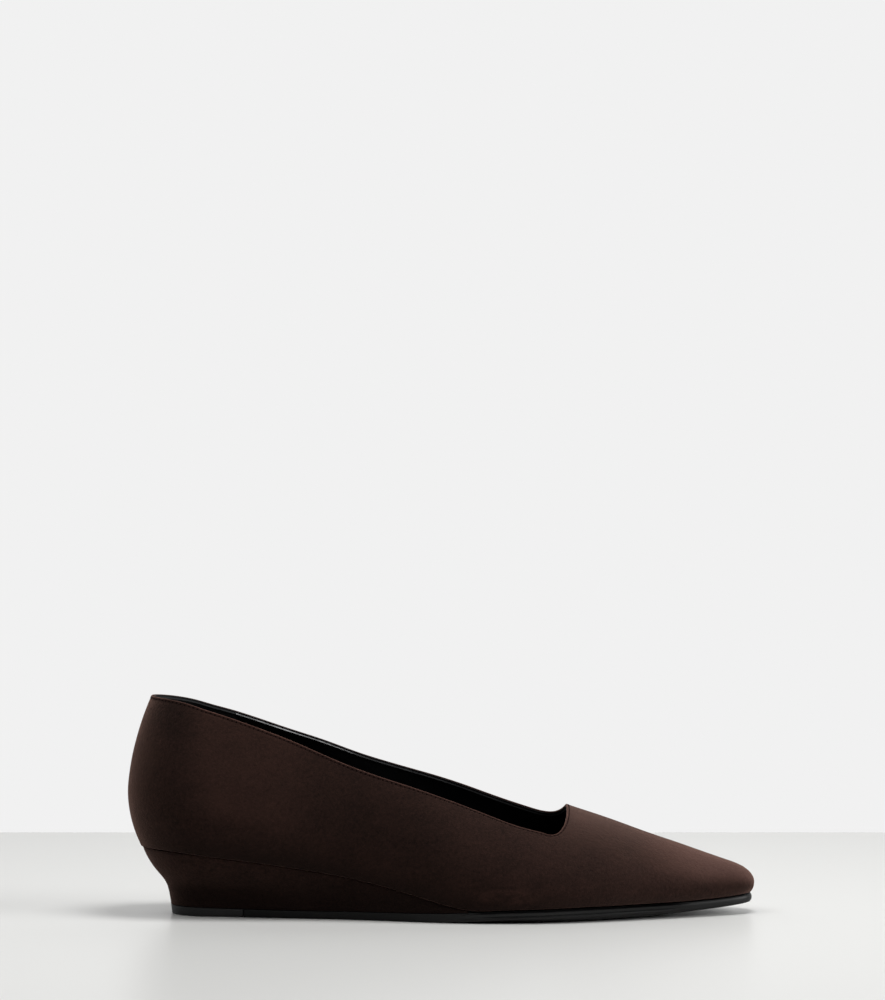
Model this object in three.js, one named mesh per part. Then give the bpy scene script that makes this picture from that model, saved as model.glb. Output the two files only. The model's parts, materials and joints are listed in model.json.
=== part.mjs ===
// A right-foot wedge pump with a slim square toe and a low square-cut throat.
// Pieces: a hollow suede upper, an insole, a suede-covered wedge, an outsole and a heel top piece.
// Millimetres, +Z up, toe towards +X, the inner side of the foot towards +Y, the floor at z = 0.
// While it is modelled, x is measured from the back of the heel.
import * as THREE from "three";

// Driving sizes
const shoeLength = 266; // back of the heel to the tip of the toe
const ballWidth = 81; // across the upper at the ball
const wedgeHeight = 24.25; // rise of the heel seat over the sole, at the back
const counterHeight = 64; // lower edge of the upper to the topline, at the back
const cornerHeight = 31.4; // lower edge of the upper to the topline, at the throat's corners
const vampRise = 40; // lower edge of the upper to the vamp's ridge, at the throat
const wall = 1.8; // suede, reinforcement and lining together
const insoleThickness = 2.4;
const soleThickness = 5.7; // outsole under the ball
const rimHeight = 3.5; // height of the outsole's side
const rimRound = 0.5; // how far the forepart's rounded rim swells
const topPieceLength = 31.8; // heel top piece, back to front
const topPieceTaper = 0.5; // how far the heel top piece draws in to its lower edge
const toeSpring = 4.7;
const fitGap = 0.3; // between pieces that meet
const wedgeInset = 0.5; // how far the wedge's top stays inside the upper's lower edge
const wedgeTipThickness = 0.5;

// Places along the shoe
const heelCentre = 34; // centre of the heel's round end
const toeCentre = 254; // centre of the toe's end
const cornerStart = 174; // where the side of the topline starts to turn into the throat
const throatFront = 186.2; // middle of the throat's front edge
const springStart = 185; // where the sole leaves the floor

// How square the round ends are: 2 is an ellipse, more is squarer.
const heelSquareness = 2.15;
const toeSquareness = 3.6;
const throatSquareness = 3.3;

// Sections of the last, back to front, at shares of shoeLength. ridge (to the inner side), outer and
// inner (half widths from the ridge), outerTuck and innerTuck (how far the lower edge stays inside the
// widest line) and soleInset (how far the sole's edge stays inside the lower edge) are shares of
// ballWidth. bulge, the height of the widest line over the lower edge, is a share of counterHeight.
// crest, the height of the closed last over the lower edge, is a share of vampRise. power is the
// section's roundness: 2 is an ellipse, more is boxier.
const sections = [
  { at: 0.0, ridge: 0.0, outer: 0.354, inner: 0.35, outerTuck: 0.07, innerTuck: 0.07, soleInset: 0.155, bulge: 0.362, crest: 2.35, power: 1.6 },
  { at: 0.13, ridge: 0.0, outer: 0.362, inner: 0.354, outerTuck: 0.047, innerTuck: 0.047, soleInset: 0.108, bulge: 0.318, crest: 2.36, power: 1.6 },
  { at: 0.19, ridge: 0.0, outer: 0.369, inner: 0.359, outerTuck: 0.04, innerTuck: 0.042, soleInset: 0.098, bulge: 0.3, crest: 2.4, power: 1.62 },
  { at: 0.26, ridge: 0.004, outer: 0.373, inner: 0.348, outerTuck: 0.035, innerTuck: 0.047, soleInset: 0.062, bulge: 0.275, crest: 2.33, power: 1.68 },
  { at: 0.34, ridge: 0.01, outer: 0.389, inner: 0.335, outerTuck: 0.032, innerTuck: 0.059, soleInset: 0.032, bulge: 0.248, crest: 2.14, power: 1.78 },
  { at: 0.41, ridge: 0.017, outer: 0.433, inner: 0.336, outerTuck: 0.03, innerTuck: 0.066, soleInset: 0.012, bulge: 0.222, crest: 1.895, power: 1.88 },
  { at: 0.49, ridge: 0.025, outer: 0.502, inner: 0.359, outerTuck: 0.027, innerTuck: 0.058, soleInset: 0.0, bulge: 0.19, crest: 1.61, power: 1.96 },
  { at: 0.545, ridge: 0.031, outer: 0.54, inner: 0.383, outerTuck: 0.025, innerTuck: 0.044, soleInset: -0.003, bulge: 0.165, crest: 1.44, power: 2.0 },
  { at: 0.6, ridge: 0.035, outer: 0.557, inner: 0.412, outerTuck: 0.025, innerTuck: 0.032, soleInset: -0.004, bulge: 0.14, crest: 1.262, power: 2.0 },
  { at: 0.655, ridge: 0.037, outer: 0.551, inner: 0.434, outerTuck: 0.025, innerTuck: 0.026, soleInset: -0.005, bulge: 0.124, crest: 1.098, power: 2.0 },
  { at: 0.715, ridge: 0.038, outer: 0.512, inner: 0.436, outerTuck: 0.025, innerTuck: 0.025, soleInset: -0.005, bulge: 0.112, crest: 0.95, power: 2.02 },
  { at: 0.77, ridge: 0.038, outer: 0.453, inner: 0.404, outerTuck: 0.024, innerTuck: 0.024, soleInset: -0.005, bulge: 0.104, crest: 0.823, power: 2.02 },
  { at: 0.825, ridge: 0.037, outer: 0.376, inner: 0.345, outerTuck: 0.023, innerTuck: 0.023, soleInset: -0.005, bulge: 0.096, crest: 0.686, power: 1.95 },
  { at: 0.88, ridge: 0.035, outer: 0.3, inner: 0.28, outerTuck: 0.021, innerTuck: 0.021, soleInset: -0.005, bulge: 0.087, crest: 0.5575, power: 1.8 },
  { at: 0.94, ridge: 0.032, outer: 0.207, inner: 0.198, outerTuck: 0.02, innerTuck: 0.02, soleInset: -0.004, bulge: 0.074, crest: 0.402, power: 1.85 },
  { at: 1.0, ridge: 0.031, outer: 0.112, inner: 0.112, outerTuck: 0.02, innerTuck: 0.02, soleInset: -0.003, bulge: 0.06, crest: 0.234, power: 3.0 },
];

// Lift of the last's underside over the sole, as shares of wedgeHeight.
const wedgeLine = [
  { at: 0.0, lift: 1.0 },
  { at: 0.055, lift: 0.992 },
  { at: 0.1, lift: 0.947 },
  { at: 0.15, lift: 0.893 },
  { at: 0.2, lift: 0.836 },
  { at: 0.29, lift: 0.703 },
  { at: 0.375, lift: 0.526 },
  { at: 0.43, lift: 0.377 },
  { at: 0.465, lift: 0.264 },
  { at: 0.5, lift: 0.15 },
  { at: 0.53, lift: 0.06 },
  { at: 0.556, lift: 0.007 },
];

// Thickness of the heel top piece and the outsole, as shares of soleThickness.
const soleDepth = [
  { at: 0.0, depth: 0.684 },
  { at: 0.1, depth: 0.66 },
  { at: 0.19, depth: 0.6 },
  { at: 0.28, depth: 0.56 },
  { at: 0.36, depth: 0.58 },
  { at: 0.44, depth: 0.605 },
  { at: 0.5, depth: 0.665 },
  { at: 0.545, depth: 0.75 },
  { at: 0.59, depth: 0.865 },
  { at: 0.65, depth: 0.935 },
  { at: 0.72, depth: 1.0 },
  { at: 0.78, depth: 0.965 },
  { at: 0.84, depth: 0.86 },
  { at: 0.91, depth: 0.715 },
  { at: 1.0, depth: 0.625 },
];

// Height of the topline between the throat's corner (0) and the back (1), at shares of cornerStart.
// innerRise lifts the inner side over the outer one, as shares of cornerHeight.
const topline = [
  { at: 0.0, height: 0.998, innerRise: 0.0 },
  { at: 0.1, height: 0.971, innerRise: -0.014 },
  { at: 0.19, height: 0.9135, innerRise: -0.009 },
  { at: 0.29, height: 0.812, innerRise: 0.005 },
  { at: 0.4, height: 0.683, innerRise: 0.0275 },
  { at: 0.47, height: 0.5885, innerRise: 0.068 },
  { at: 0.55, height: 0.4835, innerRise: 0.089 },
  { at: 0.7, height: 0.3275, innerRise: 0.114 },
  { at: 0.83, height: 0.183, innerRise: 0.146 },
  { at: 0.9, height: 0.0975, innerRise: 0.153 },
  { at: 0.95, height: 0.0415, innerRise: 0.154 },
  { at: 1.0, height: 0.0, innerRise: 0.138 },
];

// How far the wedge's side has drawn in from its top (0) to its foot (1).
const wedgeSide = [
  { at: 0.0, drawn: 0.0 },
  { at: 0.14, drawn: 0.115 },
  { at: 0.25, drawn: 0.24 },
  { at: 0.35, drawn: 0.375 },
  { at: 0.46, drawn: 0.56 },
  { at: 0.56, drawn: 0.74 },
  { at: 0.66, drawn: 0.855 },
  { at: 0.78, drawn: 0.925 },
  { at: 0.89, drawn: 0.967 },
  { at: 1.0, drawn: 1.0 },
];

const outerSide = -1;
const innerSide = 1;

// A natural cubic spline through one column of a table.
function smooth(rows, column) {
  const n = rows.length;
  const at = rows.map((row) => row.at);
  const value = rows.map((row) => row[column]);
  const bend = new Array(n).fill(0);
  const carry = new Array(n).fill(0);
  for (let i = 1; i < n - 1; i++) {
    const share = (at[i] - at[i - 1]) / (at[i + 1] - at[i - 1]);
    const pivot = share * bend[i - 1] + 2;
    const slopeChange =
      (value[i + 1] - value[i]) / (at[i + 1] - at[i]) - (value[i] - value[i - 1]) / (at[i] - at[i - 1]);
    bend[i] = (share - 1) / pivot;
    carry[i] = ((6 * slopeChange) / (at[i + 1] - at[i - 1]) - share * carry[i - 1]) / pivot;
  }
  const second = new Array(n).fill(0);
  for (let i = n - 2; i > 0; i--) second[i] = bend[i] * second[i + 1] + carry[i];
  return (where) => {
    const s = Math.min(Math.max(where, at[0]), at[n - 1]);
    let i = 0;
    while (i < n - 2 && s > at[i + 1]) i++;
    const gap = at[i + 1] - at[i];
    const a = (at[i + 1] - s) / gap;
    const b = 1 - a;
    const curve = ((a ** 3 - a) * second[i] + (b ** 3 - b) * second[i + 1]) * gap * gap;
    return a * value[i] + b * value[i + 1] + curve / 6;
  };
}

function along(rows, column, size, span = shoeLength) {
  const curve = smooth(rows, column);
  return (x) => curve(x / span) * size;
}

const ridge = along(sections, "ridge", ballWidth);
const outerWidth = along(sections, "outer", ballWidth);
const innerWidth = along(sections, "inner", ballWidth);
const outerTuck = along(sections, "outerTuck", ballWidth);
const innerTuck = along(sections, "innerTuck", ballWidth);
const soleInset = along(sections, "soleInset", ballWidth);
const bulgeRise = along(sections, "bulge", counterHeight);
const crestRise = along(sections, "crest", vampRise);
const power = along(sections, "power", 1);
const lift = along(wedgeLine, "lift", wedgeHeight);
const depth = along(soleDepth, "depth", soleThickness);
const drawnIn = along(wedgeSide, "drawn", 1, 1);
const toplineShare = along(topline, "height", 1, cornerStart);
const innerTopRise = along(topline, "innerRise", cornerHeight, cornerStart);

// Heights along the shoe
const springPower = 1.8;

function soleBottom(x) {
  const past = Math.max(0, x - springStart) / (shoeLength - springStart);
  return toeSpring * past ** springPower;
}

function soleTop(x) {
  return soleBottom(x) + depth(x);
}

function lowerEdge(x) {
  return soleTop(x) + fitGap + lift(x);
}

function bulgeHeight(x) {
  return lowerEdge(x) + bulgeRise(x);
}

function crestHeight(x) {
  const inside = Math.max(x, heelCentre);
  return lowerEdge(inside) + crestRise(inside);
}

function toplineHeight(side, x) {
  const back = lowerEdge(0) + counterHeight;
  const corner = lowerEdge(cornerStart) + cornerHeight;
  const rise = side === innerSide ? innerTopRise(x) : 0;
  return corner + (back - corner) * toplineShare(x) + rise;
}

// How the round ends close: 1 between the two end centres, falling to 0 at the tips.
function endRound(x) {
  if (x < heelCentre) {
    const u = Math.min(1, (heelCentre - x) / heelCentre);
    return (1 - u ** heelSquareness) ** (1 / heelSquareness);
  }
  if (x > toeCentre) {
    const u = Math.min(1, (x - toeCentre) / (shoeLength - toeCentre));
    return (1 - u ** toeSquareness) ** (1 / toeSquareness);
  }
  return 1;
}

function reach(side, x) {
  return (side === innerSide ? innerWidth(x) : outerWidth(x)) * endRound(x);
}

// The point on the last's centre line that a place on its outline closes towards.
function footOf(x) {
  const inside = Math.min(Math.max(x, heelCentre), toeCentre);
  return new THREE.Vector2(inside, ridge(inside));
}

function widestPoint(side, x) {
  const within = Math.min(Math.max(x, 0), shoeLength);
  return new THREE.Vector2(x, footOf(within).y + side * reach(side, within));
}

// A place on the outline moved towards its foot point.
function inwards(side, x, distance) {
  const point = widestPoint(side, x);
  const way = footOf(x).sub(point);
  return point.addScaledVector(way.normalize(), distance);
}

function tuck(side, x) {
  return side === innerSide ? innerTuck(x) : outerTuck(x);
}

// Stations: places on the outline, back to front. The ends turn by equal angles.
function heelStation(share) {
  return heelCentre * (1 - Math.cos((share * Math.PI) / 2) ** (2 / heelSquareness));
}

function toeStation(share) {
  return toeCentre + (shoeLength - toeCentre) * Math.sin((share * Math.PI) / 2) ** (2 / toeSquareness);
}

function evenly(from, to, count) {
  return Array.from({ length: count }, (_, i) => from + ((to - from) * i) / count);
}

const heelSteps = 7;
const sideSteps = 18;
const vampSteps = 11;
const toeSteps = 6;
const heelStations = evenly(0, 1, heelSteps).map(heelStation);
const toeStations = [...evenly(0, 1, toeSteps), 1].map(toeStation);

// Upper: one wall, from its lower edge round the last to the topline.

// Height of the closed last over a place in plan.
function lastHeight(side, x, y) {
  const foot = footOf(x);
  const across = Math.abs(y - foot.y);
  let share;
  let outlineX = x;
  if (x > toeCentre) {
    let low = 1e-6;
    let high = 1;
    for (let step = 0; step < 40; step++) {
      share = (low + high) / 2;
      outlineX = toeCentre + (x - toeCentre) / share;
      const outside = outlineX >= shoeLength || across / share > reach(side, outlineX);
      if (outside) low = share;
      else high = share;
    }
    outlineX = Math.min(outlineX, shoeLength);
  } else {
    share = Math.min(1, across / reach(side, x));
  }
  const n = power(outlineX);
  const low = bulgeHeight(outlineX);
  return low + (crestHeight(x) - low) * (1 - share ** n) ** (1 / n);
}

// Share of the way from the centre line to the widest line at a height on the last's side.
function sideShare(x, height) {
  const low = bulgeHeight(x);
  const rise = (height - low) / (crestHeight(x) - low);
  const n = power(x);
  return (1 - Math.min(1, Math.max(0, rise)) ** n) ** (1 / n);
}

function sidePoint(side, x, height) {
  const foot = footOf(x);
  const plan = foot.clone().lerp(widestPoint(side, x), sideShare(x, height));
  return new THREE.Vector3(plan.x, plan.y, height);
}

// The throat's edge: turn 0 at the corner's start, 1 at its middle.
function throatPoint(side, turn) {
  const start = sidePoint(side, cornerStart, toplineHeight(side, cornerStart));
  const middle = ridge(throatFront);
  const angle = (turn * Math.PI) / 2;
  const bend = 2 / throatSquareness;
  const x = cornerStart + (throatFront - cornerStart) * Math.sin(angle) ** bend;
  const y = middle + (start.y - middle) * Math.cos(angle) ** bend;
  return new THREE.Vector3(x, y, lastHeight(side, x, y));
}

// The tucked-in stretch of a column, from the lower edge up to the widest line.
function tuckedPoint(side, x, share) {
  const below = 1 - share;
  const plan = inwards(side, x, tuck(side, x) * below * below);
  const height = bulgeHeight(x) - bulgeRise(x) * below;
  return new THREE.Vector3(plan.x, plan.y, height);
}

const fineSteps = 60;
const tuckSteps = 12;

// A fine line up the last from one station to its place on the topline.
function column(side, x, turn) {
  const line = [];
  for (let i = 0; i < tuckSteps; i++) line.push(tuckedPoint(side, x, i / tuckSteps));
  const widest = widestPoint(side, x);
  if (turn === null) {
    const low = bulgeHeight(x);
    const high = toplineHeight(side, x);
    for (let i = 0; i <= fineSteps; i++) {
      line.push(sidePoint(side, x, low + ((high - low) * i) / fineSteps));
    }
    return line;
  }
  const end = throatPoint(side, turn);
  line.push(new THREE.Vector3(widest.x, widest.y, bulgeHeight(x)));
  for (let i = 1; i < fineSteps; i++) {
    const share = (i / fineSteps) ** 2;
    const px = widest.x + (end.x - widest.x) * share;
    const py = widest.y + (end.y - widest.y) * share;
    line.push(new THREE.Vector3(px, py, lastHeight(side, px, py)));
  }
  line.push(end);
  return line;
}

// The same line cut into rows, closer together near the lower edge.
const upperRows = 14;
const rowGrading = 1.4;

function inRows(line) {
  const length = [0];
  for (let i = 1; i < line.length; i++) length.push(length[i - 1] + line[i].distanceTo(line[i - 1]));
  const total = length[length.length - 1];
  const rows = [];
  let i = 1;
  for (let row = 0; row <= upperRows; row++) {
    const target = total * (row / upperRows) ** rowGrading;
    while (i < line.length - 1 && length[i] < target) i++;
    const share = (target - length[i - 1]) / (length[i] - length[i - 1]);
    rows.push(line[i - 1].clone().lerp(line[i], share));
  }
  return rows;
}

// Columns of the upper, from the back round the outer side to the toe and back along the inner side.
function upperColumns() {
  const half = (side) => {
    const sideStations = evenly(heelCentre, cornerStart, sideSteps);
    const vampStations = evenly(cornerStart, toeCentre, vampSteps);
    const back = [...heelStations, ...sideStations].map((x) => column(side, x, null));
    const front = [...vampStations, ...toeStations];
    return [...back, ...front.map((x, i) => column(side, x, i / (front.length - 1)))];
  };
  const outer = half(outerSide);
  const inner = half(innerSide);
  return [...outer, ...inner.slice(1, -1).reverse()].map(inRows);
}

// Closed rings stacked row by row.
function ringsOf(columns) {
  return columns[0].map((_, row) => columns.map((line) => line[row]));
}

// The rings moved inwards by a wall, square to the surface.
function insetRings(rings, distance) {
  const last = rings.length - 1;
  return rings.map((ring, row) =>
    ring.map((point, i) => {
      const before = ring[(i + ring.length - 1) % ring.length];
      const after = ring[(i + 1) % ring.length];
      const below = rings[Math.max(0, row - 1)][i];
      const above = rings[Math.min(last, row + 1)][i];
      const normal = after.clone().sub(before).cross(above.clone().sub(below)).normalize();
      return point.clone().addScaledVector(normal, -distance);
    }),
  );
}

// Meshes: quads between rings, and strips across a ring as its caps.
class Shell {
  constructor() {
    this.points = [];
    this.faces = [];
  }

  ring(points) {
    const first = this.points.length;
    this.points.push(...points);
    return points.map((_, i) => first + i);
  }

  quad(a, b, c, d) {
    const flatter = this.points[a].distanceTo(this.points[c]) <= this.points[b].distanceTo(this.points[d]);
    if (flatter) this.faces.push([a, b, c], [a, c, d]);
    else this.faces.push([a, b, d], [b, c, d]);
  }

  wallBetween(lower, upper) {
    lower.forEach((_, i) => {
      const next = (i + 1) % lower.length;
      this.quad(lower[i], lower[next], upper[next], upper[i]);
    });
  }

  // A cap of strips between the two halves of a ring. Points that the halves share close to triangles.
  cap(outer, inner, faceUp) {
    for (let i = 0; i < outer.length - 1; i++) {
      const corners = [outer[i], outer[i + 1], inner[i + 1], inner[i]];
      const kept = corners.filter((corner, k) => corner !== corners[(k + 1) % 4]);
      if (!faceUp) kept.reverse();
      if (kept.length === 4) this.quad(...kept);
      else this.faces.push(kept);
    }
  }

  geometry() {
    const position = new Float32Array(this.faces.length * 9);
    this.faces.flat().forEach((index, i) => this.points[index].toArray(position, i * 3));
    const made = new THREE.BufferGeometry();
    made.setAttribute("position", new THREE.BufferAttribute(position, 3));
    made.computeVertexNormals();
    return made;
  }
}

function upperGeometry() {
  const shell = new Shell();
  const outside = ringsOf(upperColumns());
  const inside = insetRings(outside, wall).reverse();
  const rings = [...outside, ...inside].map((points) => shell.ring(points));
  rings.forEach((ring, i) => shell.wallBetween(ring, rings[(i + 1) % rings.length]));
  return shell.geometry();
}

// Sole pieces: stacks of outlines. A stack's outline is named by stations, and each level gives a
// place in plan and a height for every station and side.
function stackGeometry(stations, levels) {
  const shell = new Shell();
  const sharedBack = stations[0] === 0;
  const sharedFront = stations[stations.length - 1] === shoeLength;
  const halves = levels.map((level) => {
    const outer = shell.ring(stations.map((x) => level(outerSide, x)));
    const innerPoints = stations.map((x) => level(innerSide, x));
    const first = sharedBack ? 1 : 0;
    const end = innerPoints.length - (sharedFront ? 1 : 0);
    const own = shell.ring(innerPoints.slice(first, end));
    const inner = [...(sharedBack ? [outer[0]] : []), ...own];
    if (sharedFront) inner.push(outer[outer.length - 1]);
    return { outer, inner, ring: [...outer, ...own.slice().reverse()] };
  });
  for (let i = 0; i < halves.length - 1; i++) shell.wallBetween(halves[i].ring, halves[i + 1].ring);
  shell.cap(halves[0].outer, halves[0].inner, false);
  shell.cap(halves[halves.length - 1].outer, halves[halves.length - 1].inner, true);
  return shell.geometry();
}

function at(plan, height) {
  return new THREE.Vector3(plan.x, plan.y, height);
}

// The edge of the sole at a station: under the wedge it draws in, and past it the rim stands out.
function soleEdge(side, x, extra = 0) {
  return inwards(side, x, tuck(side, x) + soleInset(x) - extra);
}

const topPieceFront = soleEdge(outerSide, 0).x + topPieceLength;
const wedgeFront = wedgeTip();

// The station where the wedge has thinned to its tip.
function wedgeTip() {
  let x = heelCentre;
  while (lift(x) - fitGap > wedgeTipThickness && x < cornerStart) x += 0.25;
  return x;
}

// Insole: a board with its sock, inside the wall.
function insoleGeometry() {
  const stations = [
    ...heelStations,
    ...evenly(heelCentre, toeCentre, sideSteps + vampSteps),
    ...toeStations,
  ];
  const edge = (side, x) => inwards(side, x, tuck(side, x) + wall + fitGap);
  return stackGeometry(stations, [
    (side, x) => at(edge(side, x), lowerEdge(edge(side, x).x)),
    (side, x) => at(edge(side, x), lowerEdge(edge(side, x).x) + insoleThickness),
  ]);
}

// Wedge: its side draws in from the upper's lower edge to the sole in an S.
const wedgeLevels = 10;

function wedgeGeometry() {
  const stations = [...heelStations, ...evenly(heelCentre, wedgeFront, 18), wedgeFront];
  const level = (share) => (side, x) => {
    const top = inwards(side, x, tuck(side, x) + wedgeInset);
    const foot = soleEdge(side, x);
    const plan = top.clone().lerp(foot, drawnIn(share));
    const high = lowerEdge(top.x) - fitGap;
    const low = soleTop(foot.x) + fitGap;
    return at(plan, high + (low - high) * share);
  };
  const shares = Array.from({ length: wedgeLevels + 1 }, (_, i) => 1 - i / wedgeLevels);
  return stackGeometry(stations, shares.map(level));
}

// Heel top piece: the flat rubber lift under the back of the wedge.
function topPieceGeometry() {
  const front = topPieceFront - fitGap / 2;
  const stations = [...heelStations, ...evenly(heelCentre, front, 3), front];
  const top = (side, x) => {
    const plan = soleEdge(side, x);
    return at(plan, soleTop(plan.x));
  };
  return stackGeometry(stations, [(side, x) => at(soleEdge(side, x, -topPieceTaper), 0), top]);
}

// Outsole: straight-sided under the wedge, with a rounded rim and a crowned underside at the forepart.
const crownShare = 0.18; // share of the half width that the crown's slope takes

function outsoleGeometry() {
  const stations = [
    ...evenly(topPieceFront + fitGap / 2, toeCentre, sideSteps + vampSteps),
    ...toeStations,
  ];
  const rounding = (x) => rimRound * THREE.MathUtils.smoothstep(x, wedgeFront, cornerStart);
  const rimBottom = (x) => Math.max(soleBottom(x), soleTop(x) - rimHeight);
  const rimLevel = (share, swell) => (side, x) => {
    const plan = soleEdge(side, x, rounding(x) * swell);
    return at(plan, rimBottom(x) + (soleTop(x) - rimBottom(x)) * share);
  };
  const crownLevel = (share, drop) => (side, x) => {
    const plan = soleEdge(side, x).lerp(footOf(x), crownShare * share);
    const low = soleBottom(x);
    return at(plan, low + (rimBottom(x) - low) * (1 - drop));
  };
  return stackGeometry(stations, [
    crownLevel(1, 1),
    crownLevel(0.45, 0.75),
    rimLevel(0, -0.8),
    rimLevel(0.2, 0.5),
    rimLevel(0.55, 1),
    rimLevel(0.85, 0.5),
    rimLevel(1, -0.4),
  ]);
}

// Finishes
const suede = new THREE.MeshStandardMaterial({ color: 0x3a2925, roughness: 0.95, metalness: 0 });
const coveredSuede = new THREE.MeshStandardMaterial({ color: 0x33241f, roughness: 0.95, metalness: 0 });
const soleLeather = new THREE.MeshStandardMaterial({ color: 0x1b1c1d, roughness: 0.5, metalness: 0 });
const heelRubber = new THREE.MeshStandardMaterial({ color: 0x1e1f21, roughness: 0.7, metalness: 0 });
const sockLeather = new THREE.MeshStandardMaterial({ color: 0x0d0d0e, roughness: 0.45, metalness: 0 });

function piece(name, geometry, material) {
  const mesh = new THREE.Mesh(geometry, material);
  mesh.name = name;
  return mesh;
}

const shoe = new THREE.Group();
shoe.name = "wedge_pump";
shoe.add(piece("upper", upperGeometry(), suede));
shoe.add(piece("insole", insoleGeometry(), sockLeather));
shoe.add(piece("wedge", wedgeGeometry(), coveredSuede));
shoe.add(piece("outsole", outsoleGeometry(), soleLeather));
shoe.add(piece("heel_top_piece", topPieceGeometry(), heelRubber));

// The origin is on the floor, under the middle of the shoe's length and width.
const middle = new THREE.Box3().setFromObject(shoe).getCenter(new THREE.Vector3());
shoe.position.set(-middle.x, -middle.y, 0);

export default shoe;
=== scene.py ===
"""Looks of a right-foot wedge pump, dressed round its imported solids.

Metres, toe towards +X, floor at z = 0.
"""

import json
import math

import bmesh
import bpy
from mathutils import Matrix, Vector, kdtree, noise

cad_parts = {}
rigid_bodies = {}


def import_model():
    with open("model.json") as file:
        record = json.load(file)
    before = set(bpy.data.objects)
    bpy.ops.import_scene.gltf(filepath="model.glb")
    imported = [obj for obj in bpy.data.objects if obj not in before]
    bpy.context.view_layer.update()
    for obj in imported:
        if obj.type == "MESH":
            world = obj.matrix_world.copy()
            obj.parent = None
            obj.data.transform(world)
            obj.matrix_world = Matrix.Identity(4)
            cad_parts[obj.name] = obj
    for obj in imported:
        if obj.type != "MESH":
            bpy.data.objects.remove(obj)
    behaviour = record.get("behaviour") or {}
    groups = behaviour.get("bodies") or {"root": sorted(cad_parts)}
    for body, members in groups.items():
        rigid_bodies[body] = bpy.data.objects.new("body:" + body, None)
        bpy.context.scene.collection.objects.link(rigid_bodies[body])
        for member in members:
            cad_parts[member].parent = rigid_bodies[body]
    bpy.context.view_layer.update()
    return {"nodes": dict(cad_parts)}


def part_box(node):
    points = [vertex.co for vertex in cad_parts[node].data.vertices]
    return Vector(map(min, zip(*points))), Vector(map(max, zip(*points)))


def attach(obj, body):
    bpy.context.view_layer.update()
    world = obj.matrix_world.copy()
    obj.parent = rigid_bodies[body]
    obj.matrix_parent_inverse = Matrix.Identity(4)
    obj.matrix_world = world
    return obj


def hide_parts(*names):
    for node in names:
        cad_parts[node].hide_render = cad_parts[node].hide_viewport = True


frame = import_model()

MM = 0.001
SUEDE_THICKNESS = 0.85 * MM
LINING_THICKNESS = 0.8 * MM
STITCH_PITCH = 1.94 * MM
TOPLINE_STITCH_DROP = 1.05 * MM
LINING_STITCH_DROP = 1.35 * MM
HEEL_LINING_LENGTH = 44.5 * MM
EDGE_ANGLE = 50  # degrees; a sharper bend is an edge
THREAD_EDGE_ANGLE = 60

upper_low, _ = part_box("upper")
LINING_SEAM_X = upper_low.x + HEEL_LINING_LENGTH


# Work at the bench


def take(*pieces):
    """Makes the pieces the only selected ones, and the first one active."""
    bpy.ops.object.select_all(action="DESELECT")
    for piece in pieces:
        piece.select_set(True)
    bpy.context.view_layer.objects.active = pieces[0]
    return pieces[0]


def new_piece(name, mesh):
    mesh.name = name
    piece = bpy.data.objects.new(name, mesh)
    bpy.context.scene.collection.objects.link(piece)
    return piece


def duplicate(piece, name):
    return new_piece(name, piece.data.copy())


def modify(piece, kind, **settings):
    """Adds a modifier and applies it."""
    take(piece)
    modifier = piece.modifiers.new(kind.title(), kind)
    for key, value in settings.items():
        setattr(modifier, key, value)
    bpy.ops.object.modifier_apply(modifier=modifier.name)
    return piece


FITTING_ROUNDS = 3


def subdivide(piece, levels):
    """Subdivides a piece so that its smooth surface still runs through the points that it had."""
    goal = [point.co.copy() for point in piece.data.vertices]
    for _ in range(FITTING_ROUNDS):
        trial = modify(duplicate(piece, "trial"), "SUBSURF", levels=levels, render_levels=levels)
        for point, place, reached in zip(piece.data.vertices, goal, trial.data.vertices):
            point.co += place - reached.co
        bpy.data.objects.remove(trial)
    return modify(piece, "SUBSURF", levels=levels, render_levels=levels)


def smooth(piece, degrees=EDGE_ANGLE):
    take(piece)
    bpy.ops.object.shade_smooth_by_angle(angle=math.radians(degrees))


WELD_DISTANCE = 0.002 * MM
QUAD_BEND = 60  # degrees between the two triangles of a quad, at most
QUAD_SKEW = 180  # degrees; a quad may have any corners
QUAD_INFLUENCES = (1.5, 1.0, 2.0)  # how much each try cares for an even grid


def welded(node, name, influence):
    """A copy of a CAD node with its points merged and its triangles joined into quads."""
    piece = take(new_piece(name, frame["nodes"][node].data.copy()))
    piece.data.materials.clear()
    bpy.ops.mesh.customdata_custom_splitnormals_clear()
    bpy.ops.object.mode_set(mode="EDIT")
    bpy.ops.mesh.select_all(action="SELECT")
    bpy.ops.mesh.remove_doubles(threshold=WELD_DISTANCE)
    bpy.ops.mesh.tris_convert_to_quads(
        face_threshold=math.radians(QUAD_BEND),
        shape_threshold=math.radians(QUAD_SKEW),
        topology_influence=influence,
    )
    bpy.ops.object.mode_set(mode="OBJECT")
    return piece


def quads_of(node, name):
    """The welded copy of a CAD node that has the fewest triangles left."""
    tries = [welded(node, name, influence) for influence in QUAD_INFLUENCES]
    triangles = [
        sum(len(face.vertices) == 3 for face in piece.data.polygons) for piece in tries
    ]
    best = tries[triangles.index(min(triangles))]
    for piece in tries:
        if piece is not best:
            bpy.data.objects.remove(piece)
    best.name = best.data.name = name
    return best


# Skins of the upper's wall

WALL_EDGE_ANGLE = 62  # degrees; the wall's edges are sharper, its skins are not
WAIST = 10 * MM  # to each side of the middle of the shoe's length
OPPOSITE = -0.9  # two faces whose normals have a smaller product look opposite ways
ROWS_OFF_TOP, ROWS_OFF_LOW = 2, 3
TOP_SIDE, LOW_SIDE = 1, -1  # signs of the points' numbers beside the topline and the lower edge


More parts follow.
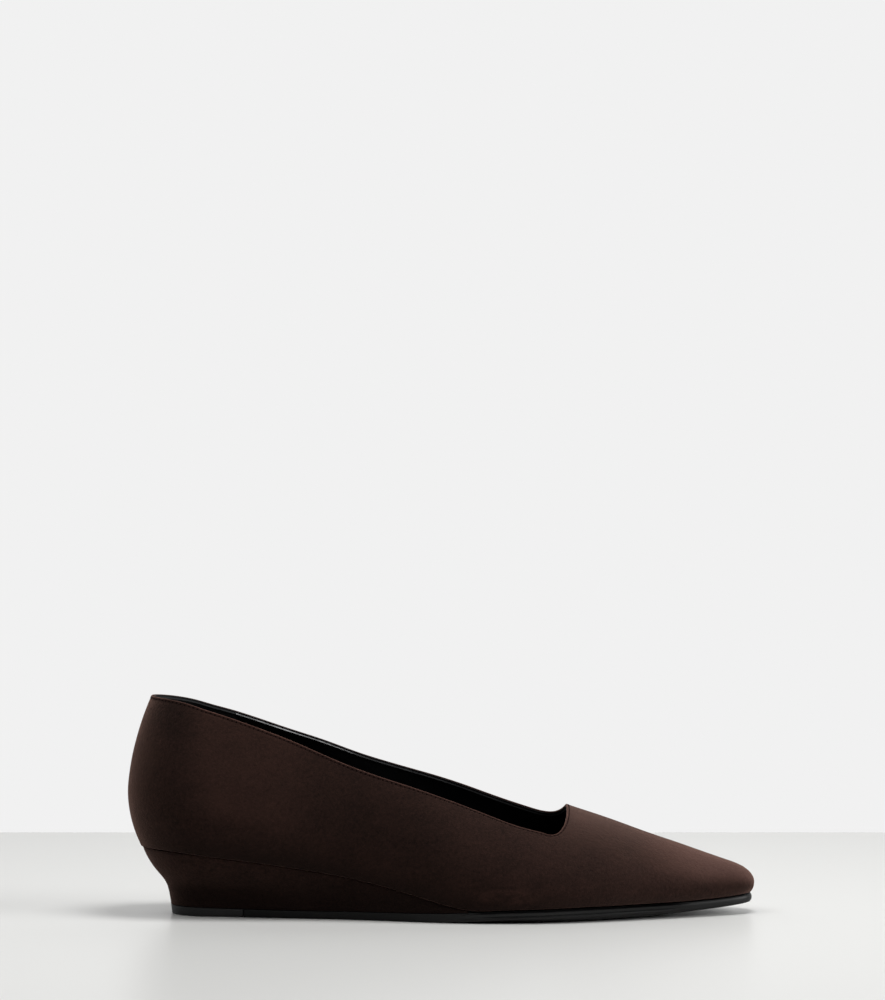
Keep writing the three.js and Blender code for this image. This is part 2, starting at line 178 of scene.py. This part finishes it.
def skin_of(wall, name, outer):
    """The outer or the inner skin of the wall, cut free along the wall's sharp edges."""
    piece = take(duplicate(wall, name))
    bpy.ops.object.mode_set(mode="EDIT")
    bpy.ops.mesh.select_mode(type="EDGE")
    bpy.ops.mesh.select_all(action="DESELECT")
    bpy.ops.mesh.edges_select_sharp(sharpness=math.radians(WALL_EDGE_ANGLE))
    bpy.ops.mesh.mark_seam(clear=False)
    bpy.ops.mesh.select_all(action="DESELECT")
    bpy.ops.mesh.select_mode(type="FACE")
    bm = bmesh.from_edit_mesh(piece.data)
    waist = [face for face in bm.faces if abs(face.calc_center_median().x) < WAIST]
    widest = max(waist, key=lambda face: abs(face.calc_center_median().y))
    centre = widest.calc_center_median()
    facing_in = [face for face in waist if face.normal.dot(widest.normal) < OPPOSITE]
    behind = min(facing_in, key=lambda face: (face.calc_center_median() - centre).length)
    (widest if outer else behind).select = True
    bmesh.update_edit_mesh(piece.data)
    bpy.ops.mesh.select_linked(delimit={"SEAM"})
    bpy.ops.mesh.select_all(action="INVERT")
    bpy.ops.mesh.delete(type="FACE")
    bpy.ops.mesh.select_all(action="SELECT")
    bpy.ops.mesh.mark_seam(clear=True)
    bpy.ops.object.mode_set(mode="OBJECT")
    return piece


def border_loops(bm):
    """The borders of an open skin as lists of points in order, the highest border first.

    The edges wait in the mesh's own order, so each run starts a border at the same point.
    """
    left = dict.fromkeys(edge for edge in bm.edges if edge.is_boundary)
    loops = []
    while left:
        edge, _ = left.popitem()
        loop = list(edge.verts)
        onward = [e for e in loop[-1].link_edges if e in left]
        while onward:
            left.pop(onward[0])
            loop.append(onward[0].other_vert(loop[-1]))
            onward = [e for e in loop[-1].link_edges if e in left]
        loops.append(loop[:-1])
    return sorted(loops, key=lambda loop: -sum(point.co.z for point in loop) / len(loop))


def take_off_border(bm, loop, rows, sign):
    """Takes rows of faces off along a border and numbers the points of the border that this leaves.

    Returns, for each number, the place on the old border, the way back along the skin and the
    way out of it.
    """
    number = bm.verts.layers.int["number"]
    gone, row = list(loop), list(loop)
    for _ in range(rows):
        taken = set(gone)
        row = [
            next(e.other_vert(point) for e in point.link_edges if e.other_vert(point) not in taken)
            for point in row
        ]
        gone += row
    lines = []
    for i, (point, kept) in enumerate(zip(loop, row)):
        kept[number] = sign * (i + 1)
        lines.append((point.co.copy(), (kept.co - point.co).normalized(), point.normal.copy()))
    bmesh.ops.delete(bm, geom=gone[: -len(loop)], context="VERTS")
    return lines


def made_edge(piece, lines, sign, rings):
    """Extrudes the rim beside a border through its rings."""
    bm = bmesh.from_edit_mesh(piece.data)
    number = bm.verts.layers.int["number"]
    for face in bm.faces:
        face.select = all(sign * point[number] > 0 for point in face.verts)
    bmesh.update_edit_mesh(piece.data)
    for drop, front, back in rings:
        bpy.ops.mesh.extrude_region_move()
        bm = bmesh.from_edit_mesh(piece.data)
        number = bm.verts.layers.int["number"]
        behind = bm.verts.layers.int["behind"]
        for point in bm.verts:
            if point.select:
                place, along, out = lines[sign * point[number] - 1]
                point.co = place + along * drop * MM + out * (back if point[behind] else front) * MM
        bmesh.update_edit_mesh(piece.data)


def shell_of(skin, thickness, top_rings, low_rings):
    """Gives a skin its thickness and builds both of its edges.

    Each ring of an edge says, in mm, how far it lies from the border and how far its front
    and its back stand out of the skin. Returns the lines of the topline.
    """
    bm = bmesh.new()
    bm.from_mesh(skin.data)
    bm.verts.layers.int.new("number")
    bm.normal_update()
    top, low = border_loops(bm)
    top_lines = take_off_border(bm, top, ROWS_OFF_TOP, TOP_SIDE)
    low_lines = take_off_border(bm, low, ROWS_OFF_LOW, LOW_SIDE)
    count = len(bm.verts)
    bm.to_mesh(skin.data)
    bm.free()
    modify(skin, "SOLIDIFY", thickness=thickness, offset=-1, use_even_offset=True)
    bpy.ops.object.mode_set(mode="EDIT")
    bpy.ops.mesh.select_mode(type="FACE")
    bm = bmesh.from_edit_mesh(skin.data)
    behind = bm.verts.layers.int.new("behind")
    for i, point in enumerate(bm.verts):
        point[behind] = i >= count
    bmesh.update_edit_mesh(skin.data)
    made_edge(skin, top_lines, TOP_SIDE, top_rings)
    made_edge(skin, low_lines, LOW_SIDE, low_rings)
    bpy.ops.object.mode_set(mode="OBJECT")
    return top_lines


# Sewing

BEAD_SIDES, BEAD_RINGS = 8, 6


def resampled(points, pitch):
    """Places, directions and normals at an even pitch round a closed line of points."""
    points = [*points, points[0]]
    lengths = [0.0]
    for a, b in zip(points, points[1:]):
        lengths.append(lengths[-1] + (b[0] - a[0]).length)
    count = max(1, round(lengths[-1] / pitch))
    made = []
    i = 0
    for k in range(count):
        target = lengths[-1] * (k + 0.5) / count
        while lengths[i + 1] < target:
            i += 1
        share = (target - lengths[i]) / (lengths[i + 1] - lengths[i])
        (a, a_out), (b, b_out) = points[i], points[i + 1]
        out = a_out.lerp(b_out, share).normalized()
        made.append((a.lerp(b, share), (b - a).normalized(), out))
    return made


def bead(name, length, width, height):
    """A small rounded form, modelled once and copied along a seam."""
    bpy.ops.mesh.primitive_uv_sphere_add(
        segments=BEAD_SIDES, ring_count=BEAD_RINGS, radius=0.5
    )
    piece = bpy.context.object
    bpy.ops.object.mode_set(mode="EDIT")
    bpy.ops.mesh.select_all(action="SELECT")
    bpy.ops.transform.rotate(value=math.radians(90), orient_axis="Y", center_override=(0, 0, 0))
    bpy.ops.transform.resize(value=(length, width, height))
    bpy.ops.object.mode_set(mode="OBJECT")
    piece.name = name
    return piece


def sewn(name, form, places):
    """Copies of a small form laid along a seam, as one piece.

    Each place has a point, a direction and a way up.
    """
    bm = bmesh.new()
    for point, direction, up in places:
        across = up.cross(direction).normalized()
        turn = Matrix((direction, across, direction.cross(across))).transposed().to_4x4()
        laid = form.data.copy()
        laid.transform(Matrix.Translation(point) @ turn)
        bm.from_mesh(laid)
        bpy.data.meshes.remove(laid)
    mesh = bpy.data.meshes.new(name)
    bm.to_mesh(mesh)
    bm.free()
    piece = new_piece(name, mesh)
    smooth(piece, THREAD_EDGE_ANGLE)
    return piece


# Finishes


class Wire:
    """A node's outlet. Arithmetic on it adds Math nodes."""

    def __init__(self, finish, socket):
        self.finish = finish
        self.socket = socket

    def maths(self, operation, *values):
        return self.finish.node("ShaderNodeMath", {"operation": operation}, dict(enumerate(values)))

    def __add__(self, other):
        return self.maths("ADD", self, other)

    def __sub__(self, other):
        return self.maths("SUBTRACT", self, other)

    def __mul__(self, other):
        return self.maths("MULTIPLY", self, other)

    def __truediv__(self, other):
        return self.maths("DIVIDE", self, other)

    def __pow__(self, other):
        return self.maths("POWER", self, other)


class Finish:
    """A material and its nodes."""

    def __init__(self, name):
        self.material = bpy.data.materials.new(name)
        self.material.use_nodes = True
        self.tree = self.material.node_tree
        self.tree.nodes.clear()
        self.place = self.node("ShaderNodeTexCoord", outlet="Object")

    def node(self, kind, settings=None, sockets=None, outlet=0):
        made = self.tree.nodes.new(kind)
        for key, value in (settings or {}).items():
            setattr(made, key, value)
        for key, value in (sockets or {}).items():
            if isinstance(value, Wire):
                self.tree.links.new(value.socket, made.inputs[key])
            else:
                made.inputs[key].default_value = value
        return Wire(self, made.outputs[outlet])

    def grain(self, size, detail, roughness, stretch=(1, 1, 1)):
        """Noise whose lumps are about `size` metres across, from 0 to 1."""
        scale = tuple(share / size for share in stretch)
        sockets = {0: self.place, 1: scale}
        spot = self.node("ShaderNodeVectorMath", {"operation": "MULTIPLY"}, sockets)
        sockets = {"Vector": spot, "Scale": 1.0, "Detail": detail, "Roughness": roughness}
        return self.node("ShaderNodeTexNoise", None, sockets)

    def between(self, value, low, high):
        """Runs smoothly from 0 to 1 while value goes from low to high."""
        sockets = {"Value": value, "From Min": low, "From Max": high}
        return self.node("ShaderNodeMapRange", {"interpolation_type": "SMOOTHSTEP"}, sockets)

    def blend(self, share, first, second):
        """Two colours mixed."""
        sockets = {0: share, 6: first, 7: second}
        return self.node("ShaderNodeMix", {"data_type": "RGBA"}, sockets, outlet=2)

    def scaled(self, colour, amount):
        """A colour made lighter or darker."""
        sockets = {0: colour, "Scale": amount}
        return self.node("ShaderNodeVectorMath", {"operation": "SCALE"}, sockets)

    def axis(self, name):
        return self.node("ShaderNodeSeparateXYZ", None, {0: self.place}, outlet=name)

    def attribute(self, name):
        return self.node("ShaderNodeAttribute", {"attribute_name": name}, outlet="Fac")

    def bump(self, height, distance, strength=1.0, under=None):
        sockets = {"Height": height, "Distance": distance, "Strength": strength}
        if under:
            sockets["Normal"] = under
        return self.node("ShaderNodeBump", None, sockets)

    def done(self, **sockets):
        """Ends in a Principled shader with these sockets. Underscores stand for spaces."""
        named = {key.replace("_", " "): value for key, value in sockets.items()}
        shader = self.node("ShaderNodeBsdfPrincipled", None, named)
        self.node_out(shader)
        return self.material

    def node_out(self, shader):
        out = self.tree.nodes.new("ShaderNodeOutputMaterial")
        self.tree.links.new(shader.socket, out.inputs["Surface"])


def dress(piece, material):
    piece.data.materials.clear()
    piece.data.materials.append(material)
    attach(piece, "root")


SUEDE_BROWN = (0.0117, 0.0053, 0.004, 1)
# The greyer brown of the painted highlight on the toe.
TOE_HIGHLIGHT_BROWN = (0.0117, 0.006, 0.005, 1)
WEDGE_BROWN = (0.0138, 0.0064, 0.0049, 1)
BLOOM_TINT = (1.0, 0.59, 0.48, 1)
NAP_RELIEF = 0.4 * MM
LOW_EDGE_SHADE = 0.33  # the share of the suede's colour left at its lower edge under painted shade

# Where painted light and shade change the suede's tone: from the first place to the second it comes
# in.
TOE_HIGHLIGHT_FROM = (76 * MM, 118 * MM)
COUNTER_SHADE_FROM, COUNTER_SHADE_TO = (-128 * MM, -119 * MM), (-96 * MM, -114 * MM)
QUARTER_LIGHT_FROM, QUARTER_LIGHT_TO = (-112 * MM, -92 * MM), (-48 * MM, -72 * MM)
BALL_LIGHT_X, BALL_LIGHT_Z = 28 * MM, 11 * MM  # the middle of the painted light beside the ball
BALL_LIGHT_LENGTH, BALL_LIGHT_HEIGHT = 15 * MM, 4.5 * MM  # from its middle to its ends
FOLD_HIGHLIGHT_FROM = (0.7, 0.3)  # mm below the folded edge, over which its painted highlight comes in

# How much each painted light adds to the suede's tone, how much the painted shade takes from it, and
# how much each grain does.
TOE_PAINTED_HIGHLIGHT, QUARTER_PAINTED_LIGHT, BALL_PAINTED_LIGHT, FOLD_PAINTED_HIGHLIGHT, COUNTER_PAINTED_SHADE = 3.2, 0.85, 2.2, 2.0, 0.6
CLOUD_TONE, NAP_TONE, FIBRE_TONE = 1.3, 2.9, 2.4


def suede(name, colour, bloom):
    """Fine brushed suede: soft mottling, short nap and a pale bloom at grazing light.

    On the upper the attribute "rise" runs from 0 at its lower edge to 1 at the topline, and
    on the wedge up from the floor; low down it darkens the suede with painted shade. "inset"
    tells how many mm a place lies below a folded edge, where a painted highlight makes it pale.
    The toe, the quarter and a place beside the ball are lightened with painted light, and the
    back of the counter is darkened with painted shade.
    """
    make = Finish(name)
    rise, inset = make.attribute("rise"), make.attribute("inset")
    x, y, z = make.axis("X"), make.axis("Y"), make.axis("Z")
    # Painted shade: the suede darkens towards its lower edge.
    painted_shade = make.between(rise, 0.0, 0.2) * (1 - LOW_EDGE_SHADE) + LOW_EDGE_SHADE
    # Painted highlight on the upper part of the toe, mixed towards a greyer brown.
    toe = make.between(x, *TOE_HIGHLIGHT_FROM) * make.between(rise, 0.25, 0.7)
    # Painted shade over the back of the heel counter, near the topline.
    counter = make.between(x, *COUNTER_SHADE_FROM) * make.between(x, *COUNTER_SHADE_TO)
    counter = counter * make.between(rise, 0.7, 0.95)
    # Painted light over the quarter's middle height.
    quarter = make.between(x, *QUARTER_LIGHT_FROM) * make.between(x, *QUARTER_LIGHT_TO)
    quarter = quarter * make.between(rise, 0.15, 0.4)
    # Painted light beside the ball, broken into patches.
    away = ((x - BALL_LIGHT_X) / BALL_LIGHT_LENGTH) ** 2 + ((z - BALL_LIGHT_Z) / BALL_LIGHT_HEIGHT) ** 2
    patchy = make.between(make.grain(5 * MM, 3, 0.7, (0.5, 1, 1)), 0.35, 0.7)
    ball_light = make.between(away, 1.0, 0.0) * make.between(y, 0.0, -10 * MM) * patchy
    # Painted highlight along the folded edges.
    fold_highlight = make.between(inset, *FOLD_HIGHLIGHT_FROM)
    cloud = make.grain(30 * MM, 3, 0.55) - 0.5
    brush = make.grain(8 * MM, 3, 0.6, (0.7, 1, 1.4)) - 0.5
    nap = make.grain(1.3 * MM, 3, 0.8)
    fibre = make.grain(0.4 * MM, 2, 0.7)
    # The painted light of the toe, quarter, ball and folded edges, less the counter's painted shade.
    places = toe * TOE_PAINTED_HIGHLIGHT + quarter * QUARTER_PAINTED_LIGHT + ball_light * BALL_PAINTED_LIGHT
    places = places + fold_highlight * FOLD_PAINTED_HIGHLIGHT - counter * COUNTER_PAINTED_SHADE
    grains = cloud * CLOUD_TONE + brush + (nap - 0.5) * NAP_TONE + (fibre - 0.5) * FIBRE_TONE
    hue = make.blend(toe, colour, TOE_HIGHLIGHT_BROWN)
    return make.done(
        Base_Color=make.scaled(hue, (grains + places + 1.0) * painted_shade),
        Roughness=1.0,
        Specular_IOR_Level=0.08,
        Sheen_Weight=bloom,
        Sheen_Roughness=0.5,
        Sheen_Tint=BLOOM_TINT,
        Normal=make.bump(nap * 0.6 + fibre * 0.4, NAP_RELIEF),
    )


def smooth_leather(name, colour, roughness, wave, wave_size):
    """Finished leather: fine pores over a slow waviness.

    It is glossy towards the heel, duller from the waist on and dullest at the throat's front.
    """
    make = Finish(name)
    x = make.axis("X")
    dull = make.between(x, -52 * MM, -25 * MM) * 0.35 + make.between(x, 42 * MM, 48 * MM) * 0.6
    handled = make.between(make.grain(7 * MM, 3, 0.6), 0.3, 0.7) * 0.25
    slow = make.bump(make.grain(wave_size, 2, 0.45, (1, 1, 1.6)), wave)
    return make.done(
        Base_Color=colour,
        Roughness=handled + dull + roughness,
        Specular_IOR_Level=0.15,
        Normal=make.bump(make.grain(0.6 * MM, 2, 0.6), 0.03 * MM, 0.6, slow),
    )


def plain_finish(name, colour, roughness, grain_size, grain_depth, gleam):
    """An even finish with a fine grain and a little dust."""
    make = Finish(name)
    relief = make.bump(make.grain(grain_size, 3, 0.6), grain_depth, 0.7)
    dust = make.between(make.grain(12 * MM, 3, 0.6), 0.25, 0.8) * 0.12 + roughness
    return make.done(Base_Color=colour, Roughness=dust, Specular_IOR_Level=gleam, Normal=relief)


def waxed_edge(name):
    """Black waxed sole leather, with painted light that makes it a little paler round the ball."""
    make = Finish(name)
    x = make.axis("X")
    # Painted light: the edge is paler round the ball.
    ball = make.between(x, -30 * MM, 12 * MM) * make.between(x, 85 * MM, 45 * MM)
    lit_edge_colour = make.scaled((1.0, 1.0, 1.0), ball * 0.009 + 0.0045)
    relief = make.bump(make.grain(1.2 * MM, 3, 0.6, (0.4, 0.4, 1.5)), 0.04 * MM, 0.7)
    return make.done(Base_Color=lit_edge_colour, Roughness=0.44, Specular_IOR_Level=0.2, Normal=relief)


upper_suede = suede("brown_suede", SUEDE_BROWN, 0.27)
wedge_suede = suede("brown_wedge_suede", WEDGE_BROWN, 0.2)
black_lining = smooth_leather(
    "black_lining_leather", (0.0028, 0.0028, 0.0033, 1), 0.12, 0.8 * MM, 14 * MM
)
black_grip = plain_finish(
    "black_heel_grip", (0.005, 0.005, 0.0052, 1), 0.8, 0.5 * MM, 0.06 * MM, 0.3
)
black_sock = plain_finish(
    "black_sock_leather", (0.003, 0.003, 0.0032, 1), 0.5, 0.6 * MM, 0.03 * MM, 0.25
)
sole_edge = waxed_edge("black_sole_leather")
rubber = plain_finish(
    "black_heel_rubber", (0.007, 0.007, 0.0075, 1), 0.5, 0.4 * MM, 0.04 * MM, 0.5
)
brown_thread = plain_finish(
    "brown_thread", (0.022, 0.0105, 0.0085, 1), 0.9, 0.2 * MM, 0.03 * MM, 0.1
)
black_thread = plain_finish(
    "black_thread", (0.005, 0.005, 0.006, 1), 0.7, 0.2 * MM, 0.03 * MM, 0.25
)
# Painted shadow: dark beads stand in for the shade inside the needle holes.
painted_hole_shadow = plain_finish(
    "needle_hole_shadow", (0.004, 0.0021, 0.0018, 1), 0.9, 0.2 * MM, 0.02 * MM, 0.0
)


# Upper: suede outside, lining inside, folded and sewn at the topline

TURNED_TOPLINE = [
    (1.5, 0.01, -0.84),
    (1.28, -0.04, -0.84),
    (1.05, -0.12, -0.84),
    (0.82, -0.03, -0.84),
    (0.55, 0.05, -0.84),
    (0.28, 0.03, -0.84),
    (0.1, -0.09, -0.76),
    (0.0, -0.28, -0.58),
]
LINING_TOPLINE = [
    (1.5, 0.04, -0.8),
    (1.28, 0.16, -0.8),
    (1.12, 0.22, -0.8),
    (1.04, 0.2, -0.8),
    (0.98, 0.1, -0.8),
    (0.84, -0.15, -0.8),
    (0.7, -0.4, -0.8),
    (0.63, -0.48, -0.8),
    (0.55, -0.5, -0.79),
    (0.25, -0.52, -0.78),
    (0.1, -0.54, -0.75),
    (0.04, -0.6, -0.7),
]
TURNED_UNDER = [(0.5, 0.0, -0.85), (0.25, -0.05, -0.85), (0.08, -0.18, -0.8), (0.0, -0.4, -0.6)]
LINING_FOOT = [(0.4, 0.0, -0.8), (0.1, -0.1, -0.75)]
SWELL_HEIGHT = 0.1 * MM
LARGE_SWELL, SMALL_SWELL = 24 * MM, 11 * MM
STILL_EDGE = 6 * MM  # height over which the swells come in from the lower edge
SKIN_LEVELS = 2
OUTLINE_STEP = 3 * MM


def soften(skin):
    """Slow hollows and swells of hand-lasted suede."""
    bm = bmesh.new()
    bm.from_mesh(skin.data)
    bm.normal_update()
    for point in bm.verts:
        swell = noise.noise(point.co / LARGE_SWELL) + 0.5 * noise.noise(point.co / SMALL_SWELL)
        edge = min(1.0, (point.co.z - upper_low.z) / STILL_EDGE)
        point.co += point.normal * swell * SWELL_HEIGHT * edge
    bm.to_mesh(skin.data)
    bm.free()


def measured(piece, name, measure):
    """Stores a measure of each point's place as an attribute of the piece."""
    values = piece.data.attributes.new(name, "FLOAT", "POINT")
    for point, value in zip(piece.data.vertices, values.data):
        value.value = measure(point.co)


def extreme_along(piece, pick):
    """The lowest (pick=min) or highest (pick=max) height of a piece, by place along the shoe."""
    heights = {}
    for point in piece.data.vertices:
        key = round(point.co.x / OUTLINE_STEP)
        heights[key] = pick(heights.get(key, point.co.z), point.co.z)
    first, last = min(heights), max(heights)

    def height(x):
        place = min(max(x / OUTLINE_STEP, first), last)
        before = math.floor(place)
        after = min(before + 1, last)
        return heights[before] + (heights[after] - heights[before]) * (place - before)

    return height


def drop_below(lines):
    """How far a place lies from the border that the lines start on, in mm."""
    border = kdtree.KDTree(len(lines))
    for i, (place, _, _) in enumerate(lines):
        border.insert(place, i)
    border.balance()
    return lambda place: border.find(place)[2] / MM


wall = quads_of("upper", "upper_wall")
suede_upper = subdivide(skin_of(wall, "suede_upper", True), SKIN_LEVELS)
lining = subdivide(skin_of(wall, "vamp_lining", False), SKIN_LEVELS)
bpy.data.objects.remove(wall)
soften(suede_upper)
suede_lines = shell_of(suede_upper, SUEDE_THICKNESS, TURNED_TOPLINE, TURNED_UNDER)
lining_lines = shell_of(lining, LINING_THICKNESS, LINING_TOPLINE, LINING_FOOT)
lowest, highest = extreme_along(suede_upper, min), extreme_along(suede_upper, max)
# "rise" sets the painted shade of the suede upper.
measured(
    suede_upper,
    "rise",
    lambda place: (place.z - lowest(place.x)) / (highest(place.x) - lowest(place.x)),
)
# "inset" places the painted highlight along the folded edges.
measured(suede_upper, "inset", drop_below(suede_lines))
smooth(suede_upper)
dress(suede_upper, upper_suede)
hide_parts("upper")


def cut_across(piece, x, keep_front):
    """Cuts a closed piece at a plane across the shoe and closes the cut."""
    take(piece)
    bpy.ops.object.mode_set(mode="EDIT")
    bpy.ops.mesh.select_all(action="SELECT")
    bpy.ops.mesh.bisect(
        plane_co=(x, 0, 0),
        plane_no=(1, 0, 0),
        use_fill=True,
        clear_inner=keep_front,
        clear_outer=not keep_front,
    )
    bpy.ops.object.mode_set(mode="OBJECT")


heel_lining = duplicate(lining, "heel_lining")
cut_across(heel_lining, LINING_SEAM_X, False)
cut_across(lining, LINING_SEAM_X, True)
for piece, material in ((heel_lining, black_grip), (lining, black_lining)):
    smooth(piece)
    dress(piece, material)


# Stitches along the topline, outside and inside

OUTSIDE_SUNK, INSIDE_SUNK = 0.04 * MM, 0.1 * MM  # how deep the threads have pulled in

thread_form = bead("thread", 1.3 * MM, 0.44 * MM, 0.34 * MM)
hole_form = bead("hole", 0.6 * MM, 0.6 * MM, 0.3 * MM)


def stitch_line(lines, drop, sunk):
    return [(place + along * drop - out * sunk, out) for place, along, out in lines]


def between_stitches(points):
    """The places between the stitches, where the needle went in."""
    stitches = resampled(points, STITCH_PITCH)
    made = []
    for (a, _, a_out), (b, _, b_out) in zip(stitches, stitches[1:] + stitches[:1]):
        made.append((a.lerp(b, 0.5), (b - a).normalized(), a_out.lerp(b_out, 0.5)))
    return made


outside_line = stitch_line(suede_lines, TOPLINE_STITCH_DROP, OUTSIDE_SUNK)
inside_line = stitch_line(lining_lines, LINING_STITCH_DROP, INSIDE_SUNK)
hole_line = stitch_line(suede_lines, TOPLINE_STITCH_DROP, 0.0)
outside_stitches = sewn("topline_stitches", thread_form, resampled(outside_line, STITCH_PITCH))
outside_hole_shadows = sewn("topline_needle_hole_shadows", hole_form, between_stitches(hole_line))
inside_stitches = sewn("lining_stitches", thread_form, resampled(inside_line, STITCH_PITCH))
dress(outside_stitches, brown_thread)
dress(outside_hole_shadows, painted_hole_shadow)
dress(inside_stitches, black_thread)
for form in (thread_form, hole_form):
    bpy.data.objects.remove(form)


# Sole pieces: the CAD forms with rounded edges

BROAD_FLAT = 12 * MM  # a face that is broader than this across the shoe
FLAT_RING = 1.5 * MM
# Heights that set the painted shade on the wedge's cover, darkest towards the floor.
WEDGE_DARK_BELOW = 7 * MM
WEDGE_PALE_OVER = 85 * MM
FAR_FROM_FOLD = 9.0  # mm; the wedge's cover has no folded edge that shows


def pick_sharp(piece):
    """Opens a piece for editing with its sharp edges picked."""
    take(piece)
    bpy.ops.object.mode_set(mode="EDIT")
    bpy.ops.mesh.select_mode(type="EDGE")
    bpy.ops.mesh.select_all(action="DESELECT")
    bpy.ops.mesh.edges_select_sharp(sharpness=math.radians(EDGE_ANGLE))


def hold_flats(piece):
    """Lays a narrow ring of faces inside each broad flat, which keeps its outline in subdivision."""
    take(piece)
    bpy.ops.object.mode_set(mode="EDIT")
    bpy.ops.mesh.select_mode(type="FACE")
    bpy.ops.mesh.select_all(action="DESELECT")
    bm = bmesh.from_edit_mesh(piece.data)
    for face in bm.faces:
        breadth = [point.co.y for point in face.verts]
        face.select = max(breadth) - min(breadth) > BROAD_FLAT
    bmesh.update_edit_mesh(piece.data)
    bpy.ops.mesh.inset(thickness=FLAT_RING)
    bpy.ops.object.mode_set(mode="OBJECT")


def rounded(node, name, width, levels=1, reshape=None):
    """A CAD node with smooth sides and with its sharp edges rounded off."""
    piece = quads_of(node, name)
    hold_flats(piece)
    pick_sharp(piece)
    bpy.ops.transform.edge_crease(value=1.0)
    bpy.ops.object.mode_set(mode="OBJECT")
    modify(piece, "SUBSURF", levels=levels, render_levels=levels)
    if reshape:
        reshape(piece)
    pick_sharp(piece)
    bpy.ops.mesh.bevel(offset=width, segments=2, profile=0.5, affect="EDGES", clamp_overlap=True)
    bpy.ops.object.mode_set(mode="OBJECT")
    smooth(piece)
    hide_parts(node)
    return piece


# How far the sole's rim stands out, by the depth below its top, in mm: a recess under the suede, a
# band that faces a little down, the groove for the stitches and a proud band that faces a little up.
RIM_PROFILE = [
    (0.0, -1.2),
    (0.5, -1.1),
    (0.8, 0.0),
    (1.9, -0.35),
    (2.15, -0.75),
    (2.4, -0.35),
    (3.1, 0.15),
    (3.6, 0.15),
]
RIM_BACK, RIM_FRONT, RIM_FADE = 8 * MM, 104 * MM, 10 * MM
RIM_DEPTH = 3.5 * MM
RIM_FACING = 0.55  # the level share of a normal, over which a place is on the side


def profiled(depth):
    """The rim's profile at a depth below its top, both in metres."""
    for (above, first), (below, second) in zip(RIM_PROFILE, RIM_PROFILE[1:]):
        if depth <= below * MM:
            share = max(0.0, (depth / MM - above) / (below - above))
            return (first + (second - first) * share) * MM
    return 0.0


def turned_rim(sole):
    """Turns the profile into the rim of the sole's front part."""
    top = extreme_along(sole, max)
    bm = bmesh.new()
    bm.from_mesh(sole.data)
    bm.normal_update()
    for point in bm.verts:
        depth = top(point.co.x) - point.co.z
        flat = Vector((point.normal.x, point.normal.y, 0))
        inside = min(point.co.x - RIM_BACK, RIM_FRONT - point.co.x)
        fade = min(1.0, max(0.0, inside / RIM_FADE))
        if depth < RIM_DEPTH and flat.length > RIM_FACING:
            point.co += flat.normalized() * profiled(depth) * fade
    bm.to_mesh(sole.data)
    bm.free()


wedge_cover = rounded("wedge", "wedge_cover", 0.25 * MM)
measured(wedge_cover, "inset", lambda place: FAR_FROM_FOLD)
# Painted shade: "rise" darkens the wedge's suede towards the floor.
measured(wedge_cover, "rise", lambda place: (place.z - WEDGE_DARK_BELOW) / WEDGE_PALE_OVER)
dress(wedge_cover, wedge_suede)
dress(rounded("outsole", "sole", 0.12 * MM, 2, turned_rim), sole_edge)
dress(rounded("heel_top_piece", "heel_lift", 0.2 * MM), rubber)
dress(rounded("insole", "sock", 0.4 * MM), black_sock)


# Floor, wall, light and camera

TABLE_DEPTH = 0.337  # behind the shoe, to where the pale wall starts to show
WALL_DISTANCE = 1.2  # from the table's far edge
STAGE_SIDE = 4  # to each side of the shoe
WALL_LOW, WALL_HIGH = -1, 3

# Each lamp is square and faces the shoe: its name, place, side in metres and power in watts.
LAMPS = [
    ("low_right", (2.0, -0.46, 0.77), 0.92, 33),
    ("left", (-0.6, -0.25, 1.1), 0.8, 5),
    ("over_shoe", (0.15, -0.05, 0.9), 0.3, 5.5),
]


def sheet_of(name, corners):
    mesh = bpy.data.meshes.new(name)
    mesh.from_pydata(corners, [], [(0, 1, 2, 3)])
    piece = new_piece(name, mesh)
    return piece


floor = sheet_of(
    "floor",
    [
        (-STAGE_SIDE, -STAGE_SIDE, 0),
        (STAGE_SIDE, -STAGE_SIDE, 0),
        (STAGE_SIDE, TABLE_DEPTH, 0),
        (-STAGE_SIDE, TABLE_DEPTH, 0),
    ],
)
wall_y = TABLE_DEPTH + WALL_DISTANCE
backdrop = sheet_of(
    "backdrop",
    [
        (-STAGE_SIDE, wall_y, WALL_LOW),
        (STAGE_SIDE, wall_y, WALL_LOW),
        (STAGE_SIDE, wall_y, WALL_HIGH),
        (-STAGE_SIDE, wall_y, WALL_HIGH),
    ],
)

pale_floor = Finish("pale_floor")
floor.data.materials.append(
    pale_floor.done(Base_Color=(0.63, 0.63, 0.615, 1), Roughness=0.35, Specular_IOR_Level=0.3)
)
pale_wall = Finish("pale_wall")
glow = pale_wall.node("ShaderNodeEmission", None, {"Color": (0.88, 0.88, 0.88, 1), "Strength": 1.0})
pale_wall.node_out(glow)
backdrop.data.materials.append(pale_wall.material)


def softbox(name, place, side, power):
    data = bpy.data.lights.new(name, "AREA")
    data.shape = "RECTANGLE"
    data.size = data.size_y = side
    data.energy = power
    lamp = bpy.data.objects.new(name, data)
    lamp.location = place
    lamp.rotation_euler = (-Vector(place)).to_track_quat("-Z", "Y").to_euler()
    bpy.context.scene.collection.objects.link(lamp)


for lamp in LAMPS:
    softbox(*lamp)

world = bpy.context.scene.world or bpy.data.worlds.new("world")
bpy.context.scene.world = world
world.use_nodes = True
sky = world.node_tree.nodes["Background"]
sky.inputs["Color"].default_value = (0.9, 0.9, 0.9, 1)
sky.inputs["Strength"].default_value = 0.03

camera_data = bpy.data.cameras.new("camera")
camera_data.sensor_width = 36
camera_data.lens = 118.62
camera = bpy.data.objects.new("camera", camera_data)
camera.location = (0.0006, -1.398, 0.175)
camera.rotation_euler = (math.radians(90), 0, 0)
bpy.context.scene.collection.objects.link(camera)
bpy.context.scene.camera = camera
bpy.context.scene.view_settings.view_transform = "Standard"
